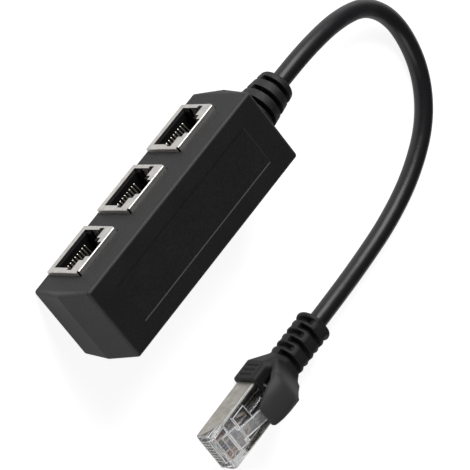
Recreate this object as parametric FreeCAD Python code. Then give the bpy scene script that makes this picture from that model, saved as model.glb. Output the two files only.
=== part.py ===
"""Three-way RJ45 splitter: one overmoulded body with three shielded jacks, a short lead and one shielded plug.

Frame: +X runs along the body to the cable exit, +Y points out of the jack face, +Z is up.
The body lies on its side, and the origin is the middle of its underside. Millimetres.
"""
import FreeCAD
import Part
import math
import os

V = FreeCAD.Vector

# Interface: eight ways side by side, and the plug outline that every port takes
WAYS = 8
WAY_PITCH = 1.02
PLUG_SIDE = 1.76
PLUG_HEIGHT = 6.6
LATCH_WIDE = 6.2
LATCH_NARROW = 3.6
PORT_SIDE_CLEARANCE = 0.11
PORT_HEIGHT_CLEARANCE = 0.15
LATCH_STEP_CLEARANCE = 0.1
LATCH_SLOT_CLEARANCE = 0.3

# Body: one soft PVC moulding
BODY_END_WALL = 5.6
BODY_BACK_WALL = 6.2
BODY_TOP_WALL = 4.45
END_RIDGE = 1.4
EDGE_RADIUS = 0.9
LABEL_END_MARGIN = 7.8
LABEL_SIDE_MARGIN = 5.4
LABEL_SINK = 0.22
POCKET_CLEARANCE = 0.05

# Strain relief, part of the same moulding
RELIEF_LENGTH = 14.8
RELIEF_TIP_WALL = 2.3
RELIEF_TAPER = 2.0
RELIEF_TIP_ROUND = 1.1
RELIEF_SLOT_COUNT = 3
RELIEF_SLOT_FIRST_BACK = 2.8
RELIEF_SLOT_PITCH = 3.9
RELIEF_SLOT_WIDTH = 1.5
RELIEF_WEB = 1.2
RELIEF_SLEEVE = 0.9

# Jacks: three shielded 8-way sockets
JACK_COUNT = 3
JACK_SPACING = 5.5
JACK_SIDE_WALL = 2.15
JACK_TOP_WALL = 0.75
JACK_REAR_ROOM = 4.35
JACK_LOW_Z = 1.65
JACK_PROUD = 1.45
SHIELD_SHEET = 0.3
SHIELD_BEND = 0.4
SHIELD_SEAM = 2.2
SHIELD_SEAM_OPEN = 0.25
SHIELD_MOUTH_SIDE = 0.65
SHIELD_MOUTH_LOW_MARGIN = 0.3
SHIELD_STEP_SIDE = 0.7
SHIELD_STEP_RISE = 0.1
SHIELD_SLOT_SIDE = 0.4
SHIELD_NOTCH_DROP = 1.2
SHIELD_NOTCH_HEIGHT = 1.8
SHIELD_NOTCH_DEEP = 0.7
SPRING_WIDTH = 2.2
SPRING_MIDDLE = 5.9
SPRING_LENGTH = 8.0
SPRING_KNEE_BACK = 5.2
SPRING_REACH = 1.84
SPRING_FRONT_REACH = 1.2
SPRING_END_REACH = 0.75
SPRING_GAP = 0.35
SHIELD_LEG_WIDTH = 1.6
SHIELD_LEG_LENGTH = 2.5
SHIELD_LEG_BACK = 6.4
INSERT_GAP = 0.05
PORT_LOW = 2.3
PORT_DEEP = 13.65
PORT_LEAD_IN = 0.5
PORT_CHAMFER = 0.49
LATCH_STEP_RISE = 2.0
LATCH_SLOT_RISE = 1.3
PEG_DIAMETER = 3.1
PEG_INSET = 2.4
PEG_BACK = 8.5
PEG_GAP = 0.1

# Spring contacts in each jack
CONTACT_WIDTH = 0.36
CONTACT_THICK = 0.3
CONTACT_FLOOR = 1.3
CONTACT_FOLD_BACK = 2.5
CONTACT_TIP_BACK = 11.4
CONTACT_SLOPE = 12.0
CONTACT_GROOVE_GAP = 0.07
CONTACT_BEND = 0.42
TAIL_ROW_BEHIND_PORT = 1.1
TAIL_ROW_PITCH = 1.7
TAIL_LENGTH = 0.8
TAIL_WINDOW_EDGE = 0.6
CARRIER_SIDE_STEP = 0.25
CARRIER_BEHIND_PORT = 0.15
CARRIER_SLOT_GAP = 0.04

# Circuit board
BOARD_THICK = 1.6
BOARD_END_EDGE = 0.6
BOARD_BACK_EDGE = 3.05
BOARD_FRONT_EDGE = 1.6
BOARD_HOLE = 0.85
SOLDER_ROOM = 2.2
SOLDER_EDGE = 0.8

# Cable and its wires
CABLE_DIAMETER = 5.1
CABLE_BORE_GAP = 0.1
WIRE_SIDE_GAP = 0.1
WIRE_COLUMN_GAP = 0.08
WIRE_ROW_GAP = 0.18
WIRE_BEND = 0.9
WIRE_GAP = 0.06
PAIR_NAMES = ["orange", "green", "blue", "brown"]
PAD_GAP = 0.33
PAD_STAND_OFF = 0.83
WIRE_RISE_STAND_OFF = 1.3
WIRE_RISE_STEP = 1.5
CABLE_POINTS = [
    (34.4, 0.0, 11.5),
    (49.3, 0.0, 11.5),
    (64.0, -0.4, 11.2),
    (77.8, -3.0, 9.6),
    (89.6, -9.2, 6.3),
    (95.7, -20.9, 3.5),
    (93.5, -35.8, 2.6),
    (85.0, -46.9, 2.6),
    (71.8, -53.6, 2.6),
    (57.1, -56.9, 2.6),
    (42.0, -57.5, 3.2),
    (27.0, -56.8, 4.8),
    (6.5, -56.4, 5.1),
    (-14.0, -56.4, 5.1),
]
ARC_SHARE = 0.45

# Plug
PLUG_JACKET_BACK = 13.2
PLUG_AXIS_RISE = 3.6
PLUG_LENGTH = 22.0
PLUG_NOSE_CHAMFER = 0.7
PLUG_SHEET = 0.3
PLUG_SHEET_GAP = 0.02
PLUG_CHEEK_TOP_BACK = 5.2
PLUG_CHEEK_LOW_BACK = 0.9
PLUG_CHEEK_STEP = 1.5
PLUG_PAN_BACK = 7.6
LATCH_HINGE_BACK = 2.6
LATCH_HINGE_THICK = 1.3
LATCH_THICK = 0.9
LATCH_SINK = 0.27
LATCH_ANGLE = 19.5
LATCH_SHOULDER = 4.3
LATCH_LENGTH = 12.8
BLADE_THICK = 0.32
BLADE_BACK = 1.2
BLADE_LENGTH = 3.4
BLADE_LOW = 0.35
BLADE_TOOTH = 0.5
BLADE_TOOTH_WIDTH = 0.68
BLADE_GAP = 0.03
PLUG_WIRE_FRONT_BACK = 0.9
FAN_STRAIGHT = 0.8
FAN_SPREAD = 2.0
FAN_LEVEL = 1.8
GUIDE_FRONT_BACK = 5.4
GUIDE_LENGTH = 3.0
GUIDE_SIDE_WALL = 0.66
GUIDE_SHELL = 0.83
GUIDE_GAP = 0.05

# Plug boot
BOOT_BLOCK_LAP = 2.4
BOOT_BLOCK_BACK = 4.0
BOOT_CHEEK = 1.36
BOOT_FLOOR = 1.2
BOOT_ROOF = 1.05
BOOT_CORNER = 1.3
BOOT_SHOULDER_LENGTH = 4.8
BOOT_TUBE_LENGTH = 14.9
BOOT_WALL = 2.3
BOOT_FLAT = 0.2
BOOT_COLLAR_RISE = 0.2
BOOT_COLLAR_LENGTH = 1.5
BOOT_COLLAR_ROUND = 0.6
BOOT_BORE_GAP = 0.3
BOOT_SLEEVE = 0.6
BOOT_SLOT_WIDTH = 1.6
BOOT_SLOT_PITCH = 4.7
BOOT_SLOT_COUNT = 3
BOOT_SLOT_FIRST = 1.0
BOOT_SLOT_STAGGER = 2.4
BOOT_TOP_WEB = 2.6
BOOT_SIDE_WEB = 5.6
BOOT_PLUG_GAP = 0.05
BOOT_GRIP_COUNT = 3
BOOT_GRIP_FIRST = 1.5
BOOT_GRIP_PITCH = 1.6
BOOT_GRIP_WIDTH = 0.6
BOOT_GRIP_HEIGHT = 4.8
BOOT_GRIP_SINK = 0.4
BOOT_BAR = 0.9
BOOT_WINDOW_REAR_WALL = 1.4
BOOT_WINDOW_WIDTH = 7.4
HOOD_WIDTH = 7.0
HOOD_SKIRT = 1.6
HOOD_SKIRT_SLOPE = 42.0
HOOD_FOOT_FLARE = 2.2
HOOD_REACH = 6.6
HOOD_BEND_BACK = 3.2
HOOD_RISE = 6.2
HOOD_DROP = 0.5
HOOD_THICK = 1.4
HOOD_BEND_THICK = 2.6
HOOD_LEG_THICK = 2.6
HOOD_SLOPE = 43.0
HOOD_BEND_ROUND = 2.6
HOOD_CORNER = 0.6
HOOD_EDGE_ROUND = 0.4

# Worked out from the sizes above
PLUG_WIDTH = WAYS * WAY_PITCH + 2 * PLUG_SIDE
PORT_WIDTH = PLUG_WIDTH + 2 * PORT_SIDE_CLEARANCE
PORT_HEIGHT = PLUG_HEIGHT + PORT_HEIGHT_CLEARANCE
LATCH_STEP_WIDTH = LATCH_WIDE + 2 * LATCH_STEP_CLEARANCE
LATCH_STEP_TOP = PORT_LOW + PORT_HEIGHT + LATCH_STEP_RISE
LATCH_SLOT_WIDTH = LATCH_NARROW + 2 * LATCH_SLOT_CLEARANCE
LATCH_SLOT_TOP = LATCH_STEP_TOP + LATCH_SLOT_RISE
JACK_WIDTH = PORT_WIDTH + 2 * JACK_SIDE_WALL
JACK_HEIGHT = LATCH_SLOT_TOP + JACK_TOP_WALL
JACK_PITCH = JACK_WIDTH + JACK_SPACING
CARRIER_WIDTH = PORT_WIDTH - 2 * CARRIER_SIDE_STEP
WIRE_DIAMETER = WAY_PITCH - WIRE_SIDE_GAP
PAD_PITCH = WIRE_DIAMETER + PAD_GAP
GUIDE_WIDTH = WAYS * WAY_PITCH + 2 * (WIRE_GAP + GUIDE_SIDE_WALL)
GUIDE_HEIGHT = WIRE_DIAMETER + 2 * (WIRE_GAP + GUIDE_SHELL)
JACK_DEPTH = PORT_DEEP + JACK_REAR_ROOM
BODY_LENGTH = (JACK_COUNT - 1) * JACK_PITCH + JACK_WIDTH + 2 * BODY_END_WALL
BODY_DEPTH = JACK_DEPTH - JACK_PROUD + BODY_BACK_WALL
BODY_WIDTH = JACK_LOW_Z + JACK_HEIGHT + BOARD_THICK + SOLDER_ROOM + BODY_TOP_WALL
FACE_Y = BODY_DEPTH / 2
JACK_FRONT_Y = FACE_Y + JACK_PROUD
JACK_BACK_Y = JACK_FRONT_Y - JACK_DEPTH
JACK_TOP_Z = JACK_LOW_Z + JACK_HEIGHT
LAST_JACK_X = (JACK_COUNT - 1) / 2 * JACK_PITCH
BOARD_HALF = LAST_JACK_X + JACK_WIDTH / 2 + BOARD_END_EDGE
BOARD_BACK_Y = JACK_BACK_Y - BOARD_BACK_EDGE
BOARD_FRONT_Y = FACE_Y - BOARD_FRONT_EDGE
BOARD_LOW_Z = JACK_TOP_Z
BOARD_TOP_Z = BOARD_LOW_Z + BOARD_THICK
RELIEF_TIP_X = BODY_LENGTH / 2 + RELIEF_LENGTH
CABLE_RADIUS = CABLE_DIAMETER / 2
RELIEF_TIP_RADIUS = CABLE_RADIUS + RELIEF_TIP_WALL
RELIEF_BASE_RADIUS = RELIEF_TIP_RADIUS + RELIEF_TAPER
BOOT_RADIUS = CABLE_RADIUS + BOOT_WALL
CABLE_START = V(*CABLE_POINTS[0])
CABLE_END = V(*CABLE_POINTS[-1])
PLUG_Y = CABLE_END.y
PLUG_WIRE_Z = CABLE_END.z
PLUG_NOSE_X = CABLE_END.x - PLUG_JACKET_BACK
PLUG_REAR_X = PLUG_NOSE_X + PLUG_LENGTH
PLUG_LOW_Z = CABLE_END.z - PLUG_AXIS_RISE
PLUG_TOP_Z = PLUG_LOW_Z + PLUG_HEIGHT
BOOT_Z = CABLE_END.z
BLOCK_FRONT_X = PLUG_REAR_X - BOOT_BLOCK_LAP
BLOCK_REAR_X = PLUG_REAR_X + BOOT_BLOCK_BACK
BLOCK_HALF_Y = PLUG_WIDTH / 2 + BOOT_CHEEK
BLOCK_LOW_Z = PLUG_LOW_Z - BOOT_FLOOR
BLOCK_TOP_Z = PLUG_TOP_Z + BOOT_ROOF
TUBE_FRONT_X = BLOCK_REAR_X + BOOT_SHOULDER_LENGTH
TUBE_REAR_X = TUBE_FRONT_X + BOOT_TUBE_LENGTH


def box(x0, x1, y0, y1, z0, z1):
    """A block between two corners."""
    return Part.makeBox(x1 - x0, y1 - y0, z1 - z0, V(x0, y0, z0))


def rod_x(x0, x1, y, z, radius):
    """A round bar along X."""
    return Part.makeCylinder(radius, x1 - x0, V(x0, y, z), V(1, 0, 0))


def plate_xz(points, y0, y1):
    """An outline in X and Z, drawn through Y."""
    wire = Part.makePolygon([V(x, y0, z) for x, z in points + points[:1]])
    return Part.Face(wire).extrude(V(0, y1 - y0, 0))


def route_arcs(points, bend=None):
    """Straight runs joined by tangent arcs: of one bend radius, or as large as the runs allow."""
    points = [V(*p) for p in points]
    edges = []
    radii = []
    last = points[0]
    for before, here, after in zip(points, points[1:], points[2:]):
        back = before - here
        ahead = after - here
        half_turn = (math.pi - back.getAngle(ahead)) / 2
        cut = ARC_SHARE * min(back.Length, ahead.Length)
        if bend is not None:
            cut = bend * math.tan(half_turn)
        radius = cut / math.tan(half_turn)
        back.normalize()
        ahead.normalize()
        start = here + back * cut
        end = here + ahead * cut
        inward = (back + ahead).normalize()
        middle = here + inward * (math.hypot(cut, radius) - radius)
        edges.append(Part.LineSegment(last, start).toShape())
        edges.append(Part.Arc(start, middle, end).toShape())
        radii.append(radius)
        last = end
    edges.append(Part.LineSegment(last, points[-1]).toShape())
    return Part.Wire(edges), radii


def round_tube(points, radius):
    """A round bar swept along arcs as large as the route allows."""
    path, radii = route_arcs(points)
    aim = V(*points[1]) - V(*points[0])
    ring = Part.Wire([Part.Circle(V(*points[0]), aim, radius).toShape()])
    return path.makePipeShell([ring], True, False), path, radii


def bent_strip(points, width, thick, bend):
    """A flat strip that lies in the YZ plane at one X, starts along Z and is bent over one radius."""
    path, radii = route_arcs(points, bend)
    start = V(*points[0])
    side = V(width / 2, 0, 0)
    face = V(0, thick / 2, 0)
    corners = [start + side + face, start - side + face, start - side - face, start + side - face]
    outline = Part.makePolygon(corners + corners[:1])
    return path.makePipeShell([outline], True, False)


def jack_middle(number):
    """Middle of one jack along the body."""
    return (number - (JACK_COUNT - 1) / 2) * JACK_PITCH


def way_offset(way, pitch):
    """Sideways place of one of the eight ways."""
    return (way - (WAYS - 1) / 2) * pitch


def tail_y(way):
    """The solder tails stand in two rows, every other way in each."""
    first = JACK_FRONT_Y - PORT_DEEP - TAIL_ROW_BEHIND_PORT
    return first - (way % 2) * TAIL_ROW_PITCH


def contact_points(middle, way):
    """Centreline of one jack contact: solder tail, floor run, hairpin at the mouth and free end."""
    x = middle + way_offset(way, WAY_PITCH)
    floor = JACK_LOW_Z + CONTACT_FLOOR
    tip = JACK_FRONT_Y - CONTACT_TIP_BACK
    slope = math.radians(CONTACT_SLOPE)
    corner = JACK_FRONT_Y - CONTACT_FOLD_BACK - CONTACT_BEND + CONTACT_BEND / math.tan(slope / 2)
    return [
        (x, tail_y(way), BOARD_TOP_Z + TAIL_LENGTH),
        (x, tail_y(way), floor),
        (x, corner, floor),
        (x, tip, floor + (corner - tip) * math.tan(slope)),
    ]


def jack_contact(middle, way):
    """One stamped phosphor bronze spring."""
    return bent_strip(contact_points(middle, way), CONTACT_WIDTH, CONTACT_THICK, CONTACT_BEND)


def spring_outline(side, middle):
    """Grounding finger seen along Z: folded back at the mouth, it leans into the port and out again."""
    wall = middle + side * (JACK_WIDTH / 2 - SHIELD_SHEET)
    front = JACK_FRONT_Y - SHIELD_SHEET
    thick = side * SHIELD_SHEET
    inner = [
        V(wall - side * SPRING_FRONT_REACH, front, 0),
        V(wall - side * SPRING_REACH, front - SPRING_KNEE_BACK, 0),
        V(wall - side * SPRING_END_REACH, front - SPRING_LENGTH, 0),
    ]
    return inner + [point + V(thick, 0, 0) for point in reversed(inner)]


def spring_finger(side, middle):
    """One grounding finger, drawn up over its width."""
    low = JACK_LOW_Z + SPRING_MIDDLE - SPRING_WIDTH / 2
    outline = spring_outline(side, middle)
    wire = Part.makePolygon(outline + outline[:1])
    return Part.Face(wire).extrude(V(0, 0, SPRING_WIDTH)).translate(V(0, 0, low))


def jack_shield(middle):
    """Folded and plated brass can: mouth cut in its front plate, open seams at two front corners."""
    low = JACK_LOW_Z
    half = JACK_WIDTH / 2
    sheet = SHIELD_SHEET
    can = box(middle - half, middle + half, JACK_BACK_Y, JACK_FRONT_Y, low, JACK_TOP_Z)
    can = can.makeFillet(SHIELD_BEND, [e for e in can.Edges if lies_across(e, JACK_FRONT_Y)])
    room = box(middle - half + sheet, middle + half - sheet,
               JACK_BACK_Y + sheet, JACK_FRONT_Y - sheet, low + sheet, JACK_TOP_Z - sheet)
    plate_in = JACK_FRONT_Y - 2 * sheet
    plate_out = JACK_FRONT_Y + sheet
    mouth_half = PORT_WIDTH / 2 + SHIELD_MOUTH_SIDE
    mouth_low = low + PORT_LOW - SHIELD_MOUTH_LOW_MARGIN
    mouth = box(middle - mouth_half, middle + mouth_half, plate_in, plate_out,
                mouth_low, low + PORT_LOW + PORT_HEIGHT)
    step_half = LATCH_STEP_WIDTH / 2 + SHIELD_STEP_SIDE
    step = box(middle - step_half, middle + step_half, plate_in, plate_out,
               mouth_low, low + LATCH_STEP_TOP + SHIELD_STEP_RISE)
    slot_half = LATCH_SLOT_WIDTH / 2 + SHIELD_SLOT_SIDE
    slot = box(middle - slot_half, middle + slot_half, plate_in, plate_out, mouth_low, JACK_TOP_Z - sheet)
    notch_half = mouth_half + SHIELD_NOTCH_DEEP
    notch_low = low + PORT_LOW + PORT_HEIGHT - SHIELD_NOTCH_DROP
    notch = box(middle - notch_half, middle + notch_half, plate_in, plate_out,
                notch_low, notch_low + SHIELD_NOTCH_HEIGHT)
    tail_front = tail_y(0) + TAIL_WINDOW_EDGE
    tail_back = tail_y(1) - TAIL_WINDOW_EDGE
    tail_half = WAYS * WAY_PITCH / 2 + TAIL_WINDOW_EDGE
    window = box(middle - tail_half, middle + tail_half, tail_back, tail_front, JACK_TOP_Z - 2 * sheet, JACK_TOP_Z)
    shield = can.cut([room, mouth, step, slot, notch, window])
    seam = sheet + SHIELD_SEAM_OPEN
    for corner in (middle - half, middle + half - seam):
        shield = shield.cut(box(corner, corner + seam, JACK_FRONT_Y - SHIELD_SEAM, JACK_FRONT_Y,
                                JACK_TOP_Z - seam, JACK_TOP_Z))
    for peg in jack_pegs(middle, PEG_DIAMETER / 2 + PEG_GAP):
        shield = shield.cut(peg)
    legs = []
    for side in (-1, 1):
        legs.append(spring_finger(side, middle))
        outer = middle + side * half
        inner = outer - side * sheet
        legs.append(box(min(outer, inner), max(outer, inner),
                        JACK_FRONT_Y - SHIELD_LEG_BACK - SHIELD_LEG_WIDTH / 2,
                        JACK_FRONT_Y - SHIELD_LEG_BACK + SHIELD_LEG_WIDTH / 2,
                        JACK_TOP_Z - sheet, JACK_TOP_Z + SHIELD_LEG_LENGTH))
    return shield.fuse(legs).removeSplitter()


def jack_pegs(middle, radius):
    """The two plastic pegs that set a jack on the board."""
    y = JACK_FRONT_Y - PEG_BACK
    foot = JACK_TOP_Z - SHIELD_SHEET - INSERT_GAP
    tall = BOARD_TOP_Z - foot
    reach = JACK_WIDTH / 2 - PEG_INSET
    places = [middle - reach, middle + reach]
    return [Part.makeCylinder(radius, tall, V(x, y, foot), V(0, 0, 1)) for x in places]


def jack_insert(middle):
    """Moulded PBT socket body inside the shield."""
    skin = SHIELD_SHEET + INSERT_GAP
    half = JACK_WIDTH / 2 - skin
    front = JACK_FRONT_Y - skin
    back = JACK_BACK_Y + skin
    low = JACK_LOW_Z + skin
    top = JACK_TOP_Z - skin
    block = box(middle - half, middle + half, back, front, low, top)
    block = block.fuse(jack_pegs(middle, PEG_DIAMETER / 2))
    port_low = JACK_LOW_Z + PORT_LOW
    port_top = port_low + PORT_HEIGHT
    port_back = JACK_FRONT_Y - PORT_DEEP
    port = box(middle - PORT_WIDTH / 2, middle + PORT_WIDTH / 2, port_back, front, port_low, port_top)
    step = box(middle - LATCH_STEP_WIDTH / 2, middle + LATCH_STEP_WIDTH / 2,
               port_back, front, port_low, JACK_LOW_Z + LATCH_STEP_TOP)
    slot = box(middle - LATCH_SLOT_WIDTH / 2, middle + LATCH_SLOT_WIDTH / 2,
               port_back, front, port_low, JACK_LOW_Z + LATCH_SLOT_TOP)
    carrier_room = box(middle - CARRIER_WIDTH / 2 - INSERT_GAP, middle + CARRIER_WIDTH / 2 + INSERT_GAP,
                       back, port_back - CARRIER_BEHIND_PORT + INSERT_GAP, low, top)
    cuts = [port, step, slot, carrier_room]
    groove_front = JACK_FRONT_Y - CONTACT_FOLD_BACK + CONTACT_THICK / 2 + INSERT_GAP
    for way in range(WAYS):
        x = middle + way_offset(way, WAY_PITCH)
        half_groove = CONTACT_WIDTH / 2 + CONTACT_GROOVE_GAP
        cuts.append(box(x - half_groove, x + half_groove, back, groove_front,
                        JACK_LOW_Z + CONTACT_FLOOR - CONTACT_THICK / 2 - INSERT_GAP, port_low))
    for side in (-1, 1):
        inner = middle + side * (PORT_WIDTH / 2 - INSERT_GAP)
        outer = middle + side * half
        low_edge = JACK_LOW_Z + SPRING_MIDDLE - SPRING_WIDTH / 2 - SPRING_GAP
        cuts.append(box(min(inner, outer), max(inner, outer), front - SPRING_LENGTH - SPRING_GAP, front,
                        low_edge, low_edge + SPRING_WIDTH + 2 * SPRING_GAP))
    lead = PORT_LEAD_IN
    mouth = box(middle - PORT_WIDTH / 2 - lead, middle + PORT_WIDTH / 2 + lead,
                front - lead, front, port_low - lead, port_top)
    mouth = mouth.makeChamfer(PORT_CHAMFER, [e for e in mouth.Edges if lies_across(e, front - lead)])
    cuts.append(mouth)
    return block.cut(cuts).removeSplitter()


def lies_across(edge, y):
    """An edge that lies in one plane across Y."""
    return all(abs(v.Point.y - y) < 1e-6 for v in edge.Vertexes)


def contact_carrier(middle):
    """Moulded comb behind the port that holds the eight contacts in line."""
    skin = SHIELD_SHEET + INSERT_GAP
    block = box(middle - CARRIER_WIDTH / 2, middle + CARRIER_WIDTH / 2,
                JACK_BACK_Y + skin, JACK_FRONT_Y - PORT_DEEP - CARRIER_BEHIND_PORT,
                JACK_LOW_Z + skin + INSERT_GAP, JACK_TOP_Z - skin)
    side = CONTACT_WIDTH / 2 + CARRIER_SLOT_GAP
    floor = JACK_LOW_Z + CONTACT_FLOOR
    face = CONTACT_THICK / 2 + CARRIER_SLOT_GAP
    cuts = []
    for way in range(WAYS):
        x = middle + way_offset(way, WAY_PITCH)
        y = tail_y(way)
        cuts.append(box(x - side, x + side, y - face, y + face, floor - face, JACK_TOP_Z))
        cuts.append(box(x - side, x + side, y - face, JACK_FRONT_Y, floor - face, floor + face + CONTACT_BEND))
    return block.cut(cuts).removeSplitter()


def circuit_board():
    """Glass-epoxy board that joins the three jacks and takes the eight wires of the lead."""
    board = box(-BOARD_HALF, BOARD_HALF, BOARD_BACK_Y, BOARD_FRONT_Y, BOARD_LOW_Z, BOARD_TOP_Z)
    cuts = []
    for number in range(JACK_COUNT):
        middle = jack_middle(number)
        for way in range(WAYS):
            place = V(middle + way_offset(way, WAY_PITCH), tail_y(way), BOARD_LOW_Z)
            cuts.append(Part.makeCylinder(BOARD_HOLE / 2, BOARD_THICK, place))
        cuts.extend(jack_pegs(middle, PEG_DIAMETER / 2 + PEG_GAP))
        for side in (-1, 1):
            x = middle + side * (JACK_WIDTH / 2 - SHIELD_SHEET / 2)
            y = JACK_FRONT_Y - SHIELD_LEG_BACK
            reach = SHIELD_LEG_WIDTH / 2 + PEG_GAP
            cuts.append(box(x - SHIELD_SHEET / 2 - PEG_GAP, x + SHIELD_SHEET / 2 + PEG_GAP,
                            y - reach, y + reach, BOARD_LOW_Z, BOARD_TOP_Z))
    return board.cut(cuts)


def wire_start(way):
    """Where one wire leaves the end of the jacket: two rows of four."""
    column = way // 2 - 1.5
    row = 0.5 - way % 2
    return column * (WIRE_DIAMETER + WIRE_COLUMN_GAP), row * (WIRE_DIAMETER + WIRE_ROW_GAP)


def pad_x():
    """Where the wires end on their pads, beside the last contact of the last jack."""
    return LAST_JACK_X + way_offset(WAYS - 1, WAY_PITCH) + PAD_STAND_OFF


def board_wire(way):
    """One insulated wire from the jacket end, up past the last jack and onto its pad."""
    dy, dz = wire_start(way)
    start_y = CABLE_START.y + dy
    start_z = CABLE_START.z + dz
    rise_x = LAST_JACK_X + JACK_WIDTH / 2 + WIRE_RISE_STAND_OFF
    if dz > 0:
        rise_x += WIRE_RISE_STEP
    pad_y = CABLE_START.y + way_offset(way, PAD_PITCH)
    pad_z = BOARD_TOP_Z + WIRE_DIAMETER / 2 + WIRE_GAP
    points = [
        (CABLE_START.x, start_y, start_z),
        (rise_x, start_y, start_z),
        (rise_x, pad_y, pad_z),
        (pad_x(), pad_y, pad_z),
    ]
    path, radii = route_arcs(points, WIRE_BEND)
    ring = Part.Wire([Part.Circle(V(*points[0]), V(-1, 0, 0), WIRE_DIAMETER / 2).toShape()])
    return path.makePipeShell([ring], True, False)


def body_blank():
    """Outer block: flat faces, and both ends drawn to a ridge at mid-height."""
    half = BODY_LENGTH / 2
    outline = [
        (-half, 0.0),
        (half, 0.0),
        (half + END_RIDGE, BODY_WIDTH / 2),
        (half, BODY_WIDTH),
        (-half, BODY_WIDTH),
        (-half - END_RIDGE, BODY_WIDTH / 2),
    ]
    block = plate_xz(outline, -FACE_Y, FACE_Y)
    soft = [e for e in block.Edges if abs(e.CenterOfMass.x) < half + END_RIDGE - 1e-6]
    return block.makeFillet(EDGE_RADIUS, soft)


def strain_relief():
    """Tapered sleeve round the cable with half-ring slots between two solid webs."""
    start = BODY_LENGTH / 2 - EDGE_RADIUS
    z = CABLE_START.z
    sleeve = Part.makeCone(RELIEF_BASE_RADIUS, RELIEF_TIP_RADIUS, RELIEF_TIP_X - start,
                           V(start, 0, z), V(1, 0, 0))
    tip = [e for e in sleeve.Edges if abs(e.CenterOfMass.x - RELIEF_TIP_X) < 1e-6 and len(e.Vertexes) == 1]
    sleeve = sleeve.makeFillet(RELIEF_TIP_ROUND, tip)
    core = CABLE_RADIUS + RELIEF_SLEEVE
    for number in range(RELIEF_SLOT_COUNT):
        x = RELIEF_TIP_X - RELIEF_SLOT_FIRST_BACK - number * RELIEF_SLOT_PITCH
        sleeve = sleeve.cut(slot_ring(x, RELIEF_SLOT_WIDTH, 0.0, z, core, RELIEF_WEB, True))
    return sleeve


def slot_ring(x, width, y, z, core, web, webs_across_y):
    """A ring groove across the X axis, broken by two webs on opposite sides."""
    reach = 3 * core
    ring = rod_x(x - width / 2, x + width / 2, y, z, reach)
    ring = ring.cut(rod_x(x - width, x + width, y, z, core))
    if webs_across_y:
        keep = box(x - width, x + width, y - reach, y + reach, z - web / 2, z + web / 2)
    else:
        keep = box(x - width, x + width, y - web / 2, y + web / 2, z - reach, z + reach)
    return ring.cut(keep)


def label_recess():
    """Shallow bare field for a label, with walls that slope at 45 degrees."""
    rims = []
    for grow, z in ((0.0, BODY_WIDTH - LABEL_SINK), (LABEL_SINK, BODY_WIDTH)):
        x = BODY_LENGTH / 2 - LABEL_END_MARGIN + grow
        y = FACE_Y - LABEL_SIDE_MARGIN + grow
        corners = [V(-x, -y, z), V(x, -y, z), V(x, y, z), V(-x, y, z)]
        rims.append(Part.makePolygon(corners + corners[:1]))
    return Part.makeLoft(rims, True, True)


def housing():
    """The body moulding with its strain relief, and the room that its contents take up."""
    gap = POCKET_CLEARANCE
    body = body_blank().fuse(strain_relief())
    cuts = [label_recess()]
    for number in range(JACK_COUNT):
        middle = jack_middle(number)
        half = JACK_WIDTH / 2 + gap
        cuts.append(box(middle - half, middle + half, JACK_BACK_Y - gap, JACK_FRONT_Y,
                        JACK_LOW_Z - gap, BOARD_LOW_Z))
        leg_front = JACK_FRONT_Y - SHIELD_LEG_BACK + SHIELD_LEG_WIDTH
        cuts.append(box(middle - half, middle + half, tail_y(1) - SOLDER_EDGE, leg_front,
                        BOARD_LOW_Z, BOARD_TOP_Z + SOLDER_ROOM))
    cuts.append(box(-BOARD_HALF - gap, BOARD_HALF + gap, BOARD_BACK_Y - gap, BOARD_FRONT_Y + gap,
                    BOARD_LOW_Z - gap, BOARD_TOP_Z + gap))
    row = WAYS * PAD_PITCH / 2 + SOLDER_EDGE
    wire_low = CABLE_START.z - WIRE_ROW_GAP - 1.5 * WIRE_DIAMETER
    wire_top = BOARD_TOP_Z + SOLDER_ROOM
    cuts.append(box(LAST_JACK_X + JACK_WIDTH / 2, CABLE_START.x, -row, row, wire_low, wire_top))
    cuts.append(box(pad_x() - SOLDER_EDGE, CABLE_START.x, -row, row, BOARD_TOP_Z, wire_top))
    bore = CABLE_RADIUS + CABLE_BORE_GAP
    cuts.append(rod_x(CABLE_START.x - gap, RELIEF_TIP_X + 1, CABLE_START.y, CABLE_START.z, bore))
    return body.cut(cuts).removeSplitter()


def plug_cheek_outline(grow):
    """Side wall of the plug shield, seen along Y: cut back in a slope over the clear nose."""
    nose = PLUG_NOSE_X
    return [
        (PLUG_REAR_X, PLUG_LOW_Z - grow),
        (PLUG_REAR_X, PLUG_TOP_Z + grow),
        (nose + PLUG_CHEEK_TOP_BACK - grow, PLUG_TOP_Z + grow),
        (nose + PLUG_CHEEK_LOW_BACK - grow, PLUG_LOW_Z + PLUG_CHEEK_STEP + grow),
        (nose + PLUG_CHEEK_LOW_BACK - grow, PLUG_LOW_Z - grow),
    ]


def plug_shield_walls(gap):
    """The two side walls and the pan under the plug, thicker by a gap where the body makes room."""
    half = PLUG_WIDTH / 2
    sheet = PLUG_SHEET + gap
    outline = plug_cheek_outline(gap)
    left = plate_xz(outline, PLUG_Y + half - sheet, PLUG_Y + half)
    right = plate_xz(outline, PLUG_Y - half, PLUG_Y - half + sheet)
    pan = box(PLUG_NOSE_X + PLUG_PAN_BACK - gap, PLUG_REAR_X, PLUG_Y - half, PLUG_Y + half,
              PLUG_LOW_Z - gap, PLUG_LOW_Z + sheet)
    return left.fuse([right, pan]).removeSplitter()


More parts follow.
